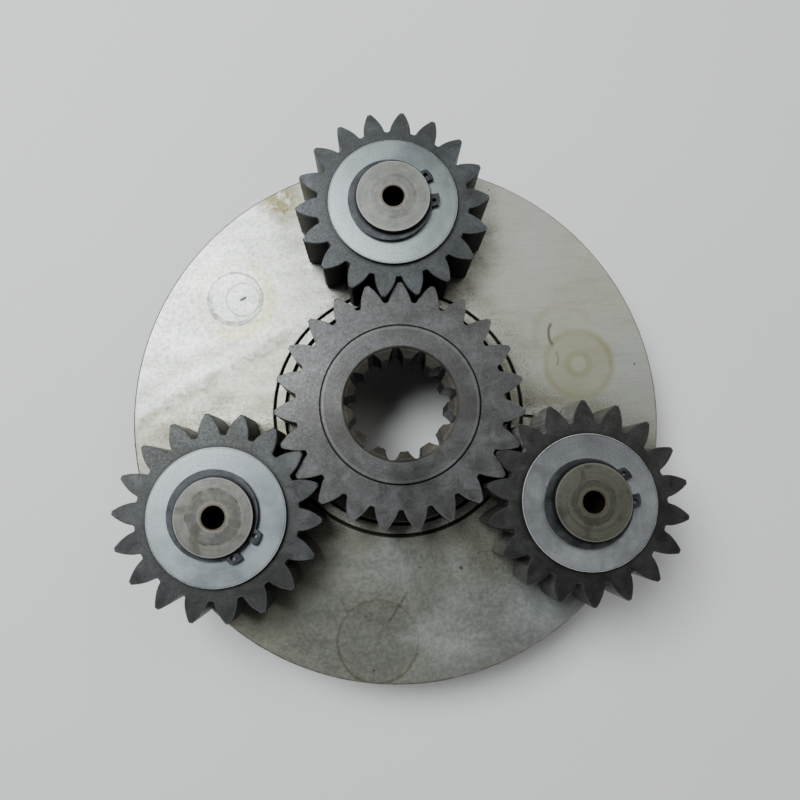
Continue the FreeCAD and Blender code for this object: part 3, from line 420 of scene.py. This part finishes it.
def gear_material(name, tone, dark, cx, cy, top_z, boss=None, bore=None, cast=(1.0, 1.0, 1.0), crisp=3.2, worn_lit_walls=None):
    """case-hardened tooth faces, mottled, with walls painted near-black for oil and for shade"""
    m = Mat(name)
    r, a, z, x, y = m.polar(cx, cy)
    w = wall(m)
    big = m.noise(26.0, 4.0, 0.60)
    mott = m.noise(150.0, 5.0, 0.66, distortion=0.5)
    fine = m.noise(1050.0, 4.0, 0.70)
    grain = m.noise(3200.0, 2.0, 0.6)
    t = tone
    base = m.ramp(mott, [(0.26, (t * 0.58, t * 0.59, t * 0.57)), (0.50, (t, t * 1.01, t * 1.01)),
                         (0.74, (t * 1.50, t * 1.54, t * 1.57))])
    base = m.mix(m.span(big, 0.42, 0.64, 0.0, 0.55), base, (t * 0.62, t * 0.60, t * 0.55))
    base = m.mix(m.span(fine, 0.50, 0.70, 0.0, 0.50), base, (t * 0.48, t * 0.48, t * 0.46))
    base = m.mix(m.span(fine, 0.48, 0.30, 0.0, 0.42), base, (t * 1.75, t * 1.79, t * 1.82))
    base = m.mix(m.span(grain, 0.54, 0.74, 0.0, 0.32), base, (t * 1.80, t * 1.82, t * 1.82))
    # dark nicks
    v = m.voronoi(240.0)
    pick = m.span(m.noise(55.0, 3.0), 0.46, 0.60)
    base = m.mix(mul(m, m.span(v, 0.04, 0.085, 1.0, 0.0), pick, 0.70), base, (t * 0.22, t * 0.21, t * 0.19))
    if boss is None:
        worn = m.span(m.noise(70.0, 4.0, 0.6, distortion=0.5), 0.52, 0.66)
        base = m.mix(mul(m, worn, m.span(r, 0.0300, 0.0345), 0.55), base, (t * 1.75, t * 1.80, t * 1.84))
        # the face is darker in a ring round the washer's edge: painted contact shade
        halo = m.span(r, 0.0266, 0.0286, 1.0, 0.0)
        base = m.mix(mul(m, halo, 0.60), base, (t * 0.40, t * 0.40, t * 0.38))
    if boss is not None:
        # near-black line at the foot of the boss: painted shade
        line = gap_ring(m, r, boss + 0.00025, 0.00028, 0.00022)
        inner = m.span(r, boss - 0.0004, boss - 0.0008, 0.0, 1.0)
        lathe = m.noise(1.0, 3.0, 0.6, vector=m.vec(mul(m, r, 2600.0), mul(m, a, 2.0), 0.0))
        base = m.mix(mul(m, inner, m.span(lathe, 0.35, 0.70, 0.0, 0.35)), base, (t * 0.60, t * 0.59, t * 0.56))
        base = m.mix(mul(m, inner, m.span(big, 0.35, 0.65, 0.0, 0.50)), base, (t * 0.62, t * 0.60, t * 0.55))
        # painted highlight on the bevelled rim just inside the boss edge
        boss_rim_highlight = gap_ring(m, r, boss - 0.0009, 0.00015, 0.0004)
        base = m.mix(mul(m, boss_rim_highlight, 0.35), base, (t * 1.9, t * 1.9, t * 1.85))
        base = m.mix(mul(m, line, 0.93), base, (0.008, 0.008, 0.007))
    if bore is not None:
        b = m.span(r, bore + 0.0004, bore, 0.0, 1.0)
        bcol = m.ramp(m.noise(90.0, 4.0, 0.6), [(0.3, (0.024, 0.021, 0.015)), (0.6, (0.058, 0.053, 0.040)), (0.8, (0.120, 0.113, 0.092))])
        base = m.mix(mul(m, b, 0.92), base, bcol)
    if boss is not None:
        # painted light falloff: brighter at the left and lower right, darker at the top and below the centre
        q, _, _, _ = spot(m, -0.0370, 0.0060, m.noise(55.0, 3.0), 0.016)
        base = m.mix(m.span(q, 0.006, 0.028, 1.0, 0.0), base, tint(m, base, 1.36))
        q, _, _, _ = spot(m, 0.0040, 0.0450, m.noise(55.0, 3.0), 0.012)
        base = m.mix(m.span(q, 0.004, 0.018, 0.7, 0.0), base, tint(m, base, 0.80))
        q, _, _, _ = spot(m, 0.0300, -0.0260, m.noise(55.0, 3.0), 0.012)
        base = m.mix(m.span(q, 0.006, 0.026, 0.7, 0.0), base, tint(m, base, 1.16))
        q, _, _, _ = spot(m, 0.0040, -0.0300, m.noise(55.0, 3.0), 0.012)
        base = m.mix(m.span(q, 0.004, 0.0135, 0.85, 0.0), base, tint(m, base, 0.58))
    base = tint(m, base, cast)
    # the chamfered edges of the tooth faces get a painted highlight; just below them the walls are painted near-black,
    # for oil and for the shade between the teeth
    below = m.span(z, top_z - 0.0002, top_z - 0.0009)
    wallcol = m.ramp(m.noise(120.0, 4.0, 0.6), [(0.30, (dark * 0.55, dark * 0.55, dark * 0.50)), (0.58, (dark, dark, dark * 0.93)),
                                                (0.78, (dark * 2.4, dark * 2.4, dark * 2.2))])
    streak = m.noise(1.0, 3.0, 0.6, vector=m.vec(mul(m, x, 900.0), mul(m, y, 900.0), mul(m, z, 40.0)))
    wallcol = m.mix(m.span(streak, 0.50, 0.75, 0.0, 0.5), wallcol, (dark * 3.0, dark * 3.0, dark * 2.8))
    # a patch of walls is lightened: worn flank, with painted light on it
    if worn_lit_walls is not None:
        q, _, _, _ = spot(m, worn_lit_walls[0], worn_lit_walls[1], m.noise(90.0, 3.0), 0.010)
        wallcol = m.mix(m.span(q, 0.008, 0.030, 1.0, 0.0), wallcol, tint(m, wallcol, worn_lit_walls[2]))
    base = m.mix(mul(m, w, below), base, wallcol)
    # painted highlight on the chamfers along the top edge of the teeth
    bright = gap_ring(m, m.math("SUBTRACT", top_z, z), 0.00015, 0.00010, 0.00008)
    chamfer_highlight = mul(m, m.span(m.math("ABSOLUTE", m.up()), 0.90, 0.80), m.span(m.math("ABSOLUTE", m.up()), 0.35, 0.5), bright)
    base = m.mix(mul(m, chamfer_highlight, m.span(fine, 0.35, 0.6, 0.25, 0.85)), base, (t * crisp, t * crisp * 1.02, t * crisp * 1.03))
    m.colour(base)
    rough = m.span(mott, 0.30, 0.70, 0.38, 0.50)
    rough = m.math("ADD", rough, mul(m, w, m.math("SUBTRACT", 0.42, rough)))
    rough = m.math("ADD", rough, m.span(fine, 0.3, 0.7, -0.05, 0.07))
    oily = mul(m, w, below) if bore is None else m.math("MAXIMUM", mul(m, w, below), m.span(r, bore + 0.0002, bore - 0.0002, 0.0, 1.0))
    m.set(Metallic=m.span(oily, 0.0, 1.0, 0.80, 0.35, smooth=False), Roughness=rough,
          Specular_IOR_Level=m.span(oily, 0.0, 1.0, 0.35, 0.16, smooth=False))
    n1 = m.bump(m.math("ADD", mul(m, fine, 1.0), mul(m, grain, 0.5)), 0.35, 0.00008)
    n2 = m.bump(mott, 0.25, 0.0003, n1)
    m.set(Normal=n2)
    return m.m


def washer_material(name, cx, cy, out_r, in_r, tone, seed=0.0, lean=(1.0, 0.0, 0.0), cool=(0.94, 1.035, 1.045)):
    m = Mat(name)
    r, a, z, x, y = m.polar(cx, cy)
    w = wall(m)
    shift = m.vmath("ADD", m.coord, (seed, seed * 0.7, 0.0))
    mott = m.noise(75.0, 5.0, 0.62, vector=shift, distortion=0.3)
    fine = m.noise(1300.0, 4.0, 0.68, vector=shift)
    ringy = m.noise(1.0, 3.0, 0.6, vector=m.vec(mul(m, r, 1700.0), mul(m, a, 3.0), seed))
    t = tone
    base = m.ramp(mott, [(0.30, (t * 0.80, t * 0.84, t * 0.86)), (0.52, (t * 0.96, t * 1.01, t * 1.04)), (0.75, (t * 1.10, t * 1.16, t * 1.19))])
    base = m.mix(m.span(ringy, 0.45, 0.70, 0.0, 0.30), base, (t * 0.68, t * 0.71, t * 0.72))
    base = m.mix(m.span(ringy, 0.40, 0.24, 0.0, 0.26), base, (t * 1.28, t * 1.32, t * 1.34))
    base = m.mix(m.span(fine, 0.52, 0.72, 0.0, 0.55), base, (t * 0.44, t * 0.46, t * 0.47))
    base = m.mix(m.span(fine, 0.46, 0.30, 0.0, 0.50), base, (t * 1.55, t * 1.58, t * 1.60))
    smear = m.node("ShaderNodeMapping")
    m.put(smear.inputs["Vector"], shift)
    smear.inputs["Rotation"].default_value = (0.0, 0.0, math.radians(50.0 + 40.0 * seed))
    smear.inputs["Scale"].default_value = (900.0, 70.0, 70.0)
    hair = m.noise(1.0, 3.0, 0.6, vector=smear.outputs["Vector"])
    base = m.mix(m.span(hair, 0.58, 0.72, 0.0, 0.35), base, (t * 1.35, t * 1.38, t * 1.38))
    base = m.mix(m.span(hair, 0.36, 0.26, 0.0, 0.35), base, (t * 0.60, t * 0.60, t * 0.58))
    v = m.voronoi(360.0, vector=shift)
    pick = m.span(m.noise(60.0, 3.0, vector=shift), 0.50, 0.62)
    base = m.mix(mul(m, m.span(v, 0.05, 0.10, 1.0, 0.0), pick, 0.85), base, (0.075, 0.080, 0.082))
    # painted shade round the foot of the retaining ring, and a dull outer edge
    # darker band next to the retaining ring: painted contact shade
    ring_foot_shade, _, _, _ = spot(m, cx, cy, m.noise(160.0, 3.0, vector=shift), 0.0030)
    base = m.mix(mul(m, m.span(ring_foot_shade, in_r + 0.0008, in_r + 0.0022, 1.0, 0.0), 0.60), base, (t * 0.22, t * 0.25, t * 0.27))
    edge = gap_ring(m, r, out_r - 0.0003, 0.0001, 0.00045)
    base = m.mix(mul(m, edge, m.span(fine, 0.3, 0.6, 0.25, 0.75)), base, (t * 0.42, t * 0.42, t * 0.42))
    # painted light falloff: a brightness slope across the washer, set per station by lean
    k = m.math("ADD", lean[0], m.math("ADD", mul(m, x, lean[1] / 0.021), mul(m, y, lean[2] / 0.021)))
    base = tint(m, base, m.vec(mul(m, k, cool[0]), mul(m, k, cool[1]), mul(m, k, cool[2])))
    sidecol = m.ramp(fine, [(0.3, (0.035, 0.036, 0.036)), (0.7, (0.085, 0.086, 0.085))])
    # painted highlight on the chamfer round the outer edge
    chamfer_highlight = mul(m, m.span(m.up(), 0.35, 0.55), m.span(m.up(), 0.93, 0.86), m.span(r, out_r - 0.0008, out_r - 0.0004))
    base = m.mix(w, base, sidecol)
    base = m.mix(mul(m, chamfer_highlight, m.span(fine, 0.30, 0.55, 0.45, 1.0)), base, (t * 2.3, t * 2.3, t * 2.3))
    m.colour(base)
    rough = m.span(mott, 0.30, 0.70, 0.32, 0.43)
    rough = m.math("ADD", rough, m.span(fine, 0.3, 0.7, -0.04, 0.06))
    m.set(Metallic=0.88, Roughness=rough, Specular_IOR_Level=0.4)
    n1 = m.bump(fine, 0.30, 0.00006)
    m.set(Normal=m.bump(ringy, 0.20, 0.00005, n1))
    return m.m


def pin_material(name, cx, cy, top_z, tone, seed, inner_r, depth, cast=(1.0, 1.0, 1.0)):
    m = Mat(name)
    r, a, z, x, y = m.polar(cx, cy)
    w = wall(m)
    shift = m.vmath("ADD", m.coord, (seed, -seed, 0.0))
    wob = m.noise(120.0, 3.0, 0.6, vector=shift)
    rr = m.math("ADD", r, mul(m, m.math("SUBTRACT", wob, 0.5), 0.0022))
    lathe = m.noise(1.0, 3.0, 0.65, vector=m.vec(mul(m, r, 2300.0), mul(m, a, 1.6), seed))
    lathe2 = m.noise(1.0, 2.0, 0.6, vector=m.vec(mul(m, r, 700.0), mul(m, a, 2.4), seed + 3.0))
    fine = m.noise(1500.0, 4.0, 0.68, vector=shift)
    patch = m.noise(210.0, 4.0, 0.65, vector=shift)
    t = tone
    base = m.ramp(lathe, [(0.28, (t * 0.78, t * 0.78, t * 0.73)), (0.50, (t, t * 1.0, t * 0.94)), (0.74, (t * 1.20, t * 1.20, t * 1.15))])
    base = m.mix(m.span(lathe2, 0.46, 0.70, 0.0, 0.28), base, (t * 0.62, t * 0.60, t * 0.52))
    base = m.mix(m.span(patch, 0.48, 0.66, 0.0, 0.40), base, (t * 0.62, t * 0.62, t * 0.54))
    base = m.mix(m.span(patch, 0.46, 0.30, 0.0, 0.35), base, (t * 1.34, t * 1.35, t * 1.28))
    worn = mul(m, m.span(rr, inner_r - 0.0004, inner_r + 0.0001, 1.0, 0.0), m.span(rr, 0.0056, 0.0064))
    base = m.mix(mul(m, worn, m.span(patch, 0.25, 0.65, 0.35, 1.0), depth), base, (t * 0.50, t * 0.50, t * 0.46))
    rimline = gap_ring(m, rr, inner_r, 0.00006, 0.00030)
    base = m.mix(mul(m, rimline, m.span(patch, 0.40, 0.60), depth), base, (t * 0.30, t * 0.28, t * 0.23))
    blot = m.span(m.noise(95.0, 4.0, 0.62, vector=shift, distortion=0.8), 0.50, 0.66)
    base = m.mix(mul(m, blot, depth * 0.7), base, (t * 0.42, t * 0.41, t * 0.32))
    base = m.mix(m.span(fine, 0.54, 0.76, 0.0, 0.45), base, (t * 0.36, t * 0.35, t * 0.31))
    base = m.mix(m.span(fine, 0.44, 0.24, 0.0, 0.32), base, (t * 1.50, t * 1.50, t * 1.46))
    # painted highlight on the rim of the pin's top face
    edge = gap_ring(m, r, 0.01475, 0.00015, 0.00035)
    base = m.mix(mul(m, edge, 0.60), base, (t * 1.75, t * 1.77, t * 1.74))
    rust = gap_ring(m, rr, 0.0048, 0.0001, 0.0006)
    base = m.mix(mul(m, rust, 0.62), base, (0.120, 0.088, 0.050))
    # the centre hole is painted near-black as shade
    hole = m.span(r, 0.00440, 0.00428, 0.0, 1.0)
    base = m.mix(hole, base, m.ramp(fine, [(0.3, (0.006, 0.005, 0.004)), (0.7, (0.016, 0.014, 0.011))]))
    # the pin's side walls are painted near-black as shade
    outer = mul(m, w, m.span(r, 0.0140, 0.0144))
    shank = m.ramp(m.noise(1.0, 3.0, 0.6, vector=m.vec(mul(m, a, 6.0), mul(m, z, 1800.0), 0.0)),
                   [(0.3, (0.010, 0.010, 0.009)), (0.7, (0.028, 0.027, 0.025))])
    base = m.mix(outer, base, shank)
    base = tint(m, base, cast)
    m.colour(base)
    rough = m.span(patch, 0.30, 0.70, 0.38, 0.52)
    side = m.math("MAXIMUM", outer, hole)
    m.set(Metallic=m.span(side, 0.0, 1.0, 0.85, 0.20, smooth=False), Roughness=rough, Specular_IOR_Level=m.span(side, 0.0, 1.0, 0.40, 0.08, smooth=False))
    n1 = m.bump(lathe, 0.45, 0.00008)
    m.set(Normal=m.bump(fine, 0.25, 0.00006, n1))
    return m.m


def spring_material(name, cx=0.0, cy=0.0, tone=0.075, seed=0.0):
    m = Mat(name)
    r, a, z, x, y = m.polar(cx, cy)
    w = wall(m)
    fine = m.noise(1300.0, 4.0, 0.68)
    patch = m.noise(240.0, 4.0, 0.62)
    t = tone
    base = m.ramp(patch, [(0.30, (t * 0.62, t * 0.68, t * 0.76)), (0.55, (t, t * 1.08, t * 1.18)), (0.78, (t * 1.9, t * 2.0, t * 2.1))])
    base = m.mix(m.span(fine, 0.52, 0.74, 0.0, 0.50), base, (t * 0.35, t * 0.37, t * 0.40))
    base = m.mix(m.span(fine, 0.44, 0.26, 0.0, 0.40), base, (t * 2.3, t * 2.45, t * 2.6))
    # near-black where the ring hugs the pin: painted contact shade
    base = m.mix(mul(m, m.span(r, 0.0150, 0.0164, 1.0, 0.0), 0.85), base, (0.008, 0.008, 0.009))
    base = m.mix(mul(m, w, 0.8), base, m.mix(fine, (0.008, 0.008, 0.009), (0.020, 0.021, 0.022)))
    m.colour(base)
    m.set(Metallic=0.75, Roughness=m.span(patch, 0.3, 0.7, 0.32, 0.50), Specular_IOR_Level=0.5)
    m.set(Normal=m.bump(fine, 0.35, 0.00007))
    return m.m


def roller_material():
    m = Mat("roller_steel")
    s = m.xyz()
    lines = m.noise(1.0, 3.0, 0.6, vector=m.vec(mul(m, s[0], 60.0), mul(m, s[1], 60.0), mul(m, s[2], 4200.0)))
    oil = m.noise(130.0, 3.0, 0.6)
    base = m.ramp(lines, [(0.3, (0.52, 0.525, 0.53)), (0.7, (0.70, 0.705, 0.715))])
    base = m.mix(m.span(oil, 0.45, 0.70, 0.0, 0.5), base, (0.36, 0.34, 0.27))
    m.colour(base)
    m.set(Metallic=0.95, Roughness=m.span(oil, 0.3, 0.7, 0.14, 0.30))
    m.set(Normal=m.bump(lines, 0.15, 0.00003))
    return m.m


def cage_material():
    m = Mat("cage_steel")
    s = m.xyz()
    pressed = m.noise(1.0, 4.0, 0.62, vector=m.vec(mul(m, s[0], 240.0), mul(m, s[1], 240.0), mul(m, s[2], 900.0)))
    oil = m.noise(95.0, 4.0, 0.62)
    base = m.ramp(pressed, [(0.3, (0.27, 0.26, 0.235)), (0.7, (0.40, 0.39, 0.36))])
    base = m.mix(m.span(oil, 0.42, 0.70, 0.0, 0.65), base, (0.15, 0.125, 0.085))
    m.colour(base)
    m.set(Metallic=0.85, Roughness=m.span(pressed, 0.3, 0.7, 0.34, 0.5))
    m.set(Normal=m.bump(pressed, 0.3, 0.00005))
    return m.m


PLANET_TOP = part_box("planet_gear_a")[1].z
SUN_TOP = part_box("sun_gear")[1].z - 0.0005
dress("carrier_plate", plate_material("ground_plate"))
dress("output_hub", plate_material("turned_hub", hub=True))
dress("sun_gear", gear_material("sun_steel", 0.096, 0.030, 0.0, 0.0, SUN_TOP, boss=0.03180, bore=0.02330, cast=(0.99, 1.005, 1.01)))
dress("sun_thrust_washer", plate_material("sun_washer_steel", hub=True))
CAGE, ROLLER = cage_material(), roller_material()
TONE = {"a": 0.064, "b": 0.065, "c": 0.049}
# near-black wall colours per planet: oil and painted shade
DARK = {"a": 0.022, "b": 0.036, "c": 0.062}
CAST = {"a": (0.94, 1.02, 1.06), "b": (0.97, 1.02, 1.02), "c": (0.98, 1.01, 0.96)}
# lightened wall patches per planet (x, y, gain): wear and painted light
WORN_LIT_WALLS = {"a": None, "b": (-0.0560, -0.0150, 1.8), "c": (0.0500, -0.0100, 4.6)}
CRISP = {"a": 3.2, "b": 3.0, "c": 1.9}
PINTONE = {"a": (0.21, 0.0092, 0.45), "b": (0.170, 0.0104, 0.95), "c": (0.152, 0.0084, 0.80)}
PINCAST = {"a": (0.95, 0.98, 0.97), "b": (0.98, 0.99, 0.96), "c": (1.0, 1.02, 0.88)}
COOL = {"a": (0.94, 1.035, 1.045), "b": (0.94, 1.030, 1.055), "c": (0.985, 1.005, 1.025)}
# per-washer painted light falloff: base level, then slopes along x and y
LEAN = {"a": (0.86, -0.16, -0.10), "b": (0.98, -0.15, -0.14), "c": (1.15, -0.02, -0.38)}
for i, tag in enumerate("abc"):
    cx, cy = AXIS[tag]
    dress("planet_gear_" + tag, gear_material("planet_steel_" + tag, TONE[tag], DARK[tag], cx, cy, PLANET_TOP,
                                                cast=CAST[tag], crisp=CRISP[tag], worn_lit_walls=WORN_LIT_WALLS[tag]))
    dress("planet_pin_" + tag, pin_material("pin_steel_" + tag, cx, cy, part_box("planet_pin_" + tag)[1].z,
                                              PINTONE[tag][0], 1.7 * i + 0.4, PINTONE[tag][1], PINTONE[tag][2], PINCAST[tag]))
    dress("upper_thrust_washer_" + tag, washer_material("washer_steel_" + tag, cx, cy, 0.02655, 0.01505, 0.34, 0.31 * i, LEAN[tag],
                                                      COOL[tag]))
    dress("lower_thrust_washer_" + tag, washer_material("washer_steel_low_" + tag, cx, cy, 0.02655, 0.01505, 0.28, 0.9 + 0.2 * i))
    dress("retaining_ring_" + tag, spring_material("ring_steel_" + tag, cx, cy, 0.055, i))
    dress("lock_pin_" + tag, spring_material("lock_pin_steel_" + tag, cx, cy, 0.060, i + 5))
    dress("needle_cage_" + tag, CAGE)
    dress("needle_rollers_" + tag, ROLLER)

# ================================================================= stage
def make_floor():
    me = bpy.data.meshes.new("floor")
    s = 1.3
    me.from_pydata([(-s, -s, 0), (s, -s, 0), (s, s, 0), (-s, s, 0)], [], [(0, 1, 2, 3)])
    o = bpy.data.objects.new("floor", me)
    bpy.context.scene.collection.objects.link(o)
    o.location.z = CAD_BOX[0][2]
    m = Mat("floor_paper")
    m.colour(m.ramp(m.noise(3.0, 2.0), [(0.3, (0.885, 0.89, 0.895)), (0.7, (0.915, 0.92, 0.925))]))
    m.set(Roughness=0.9)
    me.materials.append(m.m)


make_floor()


def area(name, loc, target, size, power, colour=(1, 1, 1), size_y=None):
    l = bpy.data.lights.new(name, "AREA")
    l.energy = power
    l.color = colour
    l.shape = "RECTANGLE" if size_y else "SQUARE"
    l.size = size
    if size_y:
        l.size_y = size_y
    o = bpy.data.objects.new(name, l)
    o.location = loc
    o.rotation_euler = (Vector(target) - Vector(loc)).to_track_quat("-Z", "Y").to_euler()
    bpy.context.scene.collection.objects.link(o)
    return o


area("key", (-0.43, 0.38, 1.0), (0, 0, 0.03), 0.54, 13.5, (0.97, 0.99, 1.0))
area("top_right", (0.46, 0.40, 0.90), (0, 0, 0.03), 0.60, 1.7, (1.0, 0.985, 0.95))
area("fill", (0.35, -0.80, 0.70), (0, 0, 0.03), 0.80, 0.7)
w = bpy.data.worlds.new("world")
w.use_nodes = True
w.node_tree.nodes["Background"].inputs[0].default_value = (0.95, 0.97, 1.0, 1)
# the room is pale round the horizon and dim overhead
wt = w.node_tree
wc = wt.nodes.new("ShaderNodeTexCoord")
ws = wt.nodes.new("ShaderNodeSeparateXYZ")
wr = wt.nodes.new("ShaderNodeMapRange")
wr.interpolation_type = "SMOOTHSTEP"
wr.inputs["From Min"].default_value = 0.20
wr.inputs["From Max"].default_value = 0.62
wr.inputs["To Min"].default_value = 0.62
wr.inputs["To Max"].default_value = 0.045
wt.links.new(wc.outputs["Generated"], ws.inputs[0])
wt.links.new(ws.outputs[2], wr.inputs["Value"])
wt.links.new(wr.outputs["Result"], wt.nodes["Background"].inputs[1])
bpy.context.scene.world = w

# ================================================================ camera
cam = bpy.data.cameras.new("camera")
cam.sensor_width = 36.0
cam.lens = 647.6 * 36.0 / 800.0
cam.clip_start = 0.01
cam.clip_end = 20.0
rows = ((0.99875, -0.038647, 0.031691), (-0.034073, -0.990399, -0.133976), (0.036564, 0.132729, -0.990478))
right, up, back = Vector(rows[0]), -Vector(rows[1]), -Vector(rows[2])
rot = Matrix((right, up, back)).transposed()
co = bpy.data.objects.new("camera", cam)
co.matrix_world = Matrix.Translation((-0.009582, -0.032835, TOP + 0.278318)) @ rot.to_4x4()
bpy.context.scene.collection.objects.link(co)
bpy.context.scene.camera = co
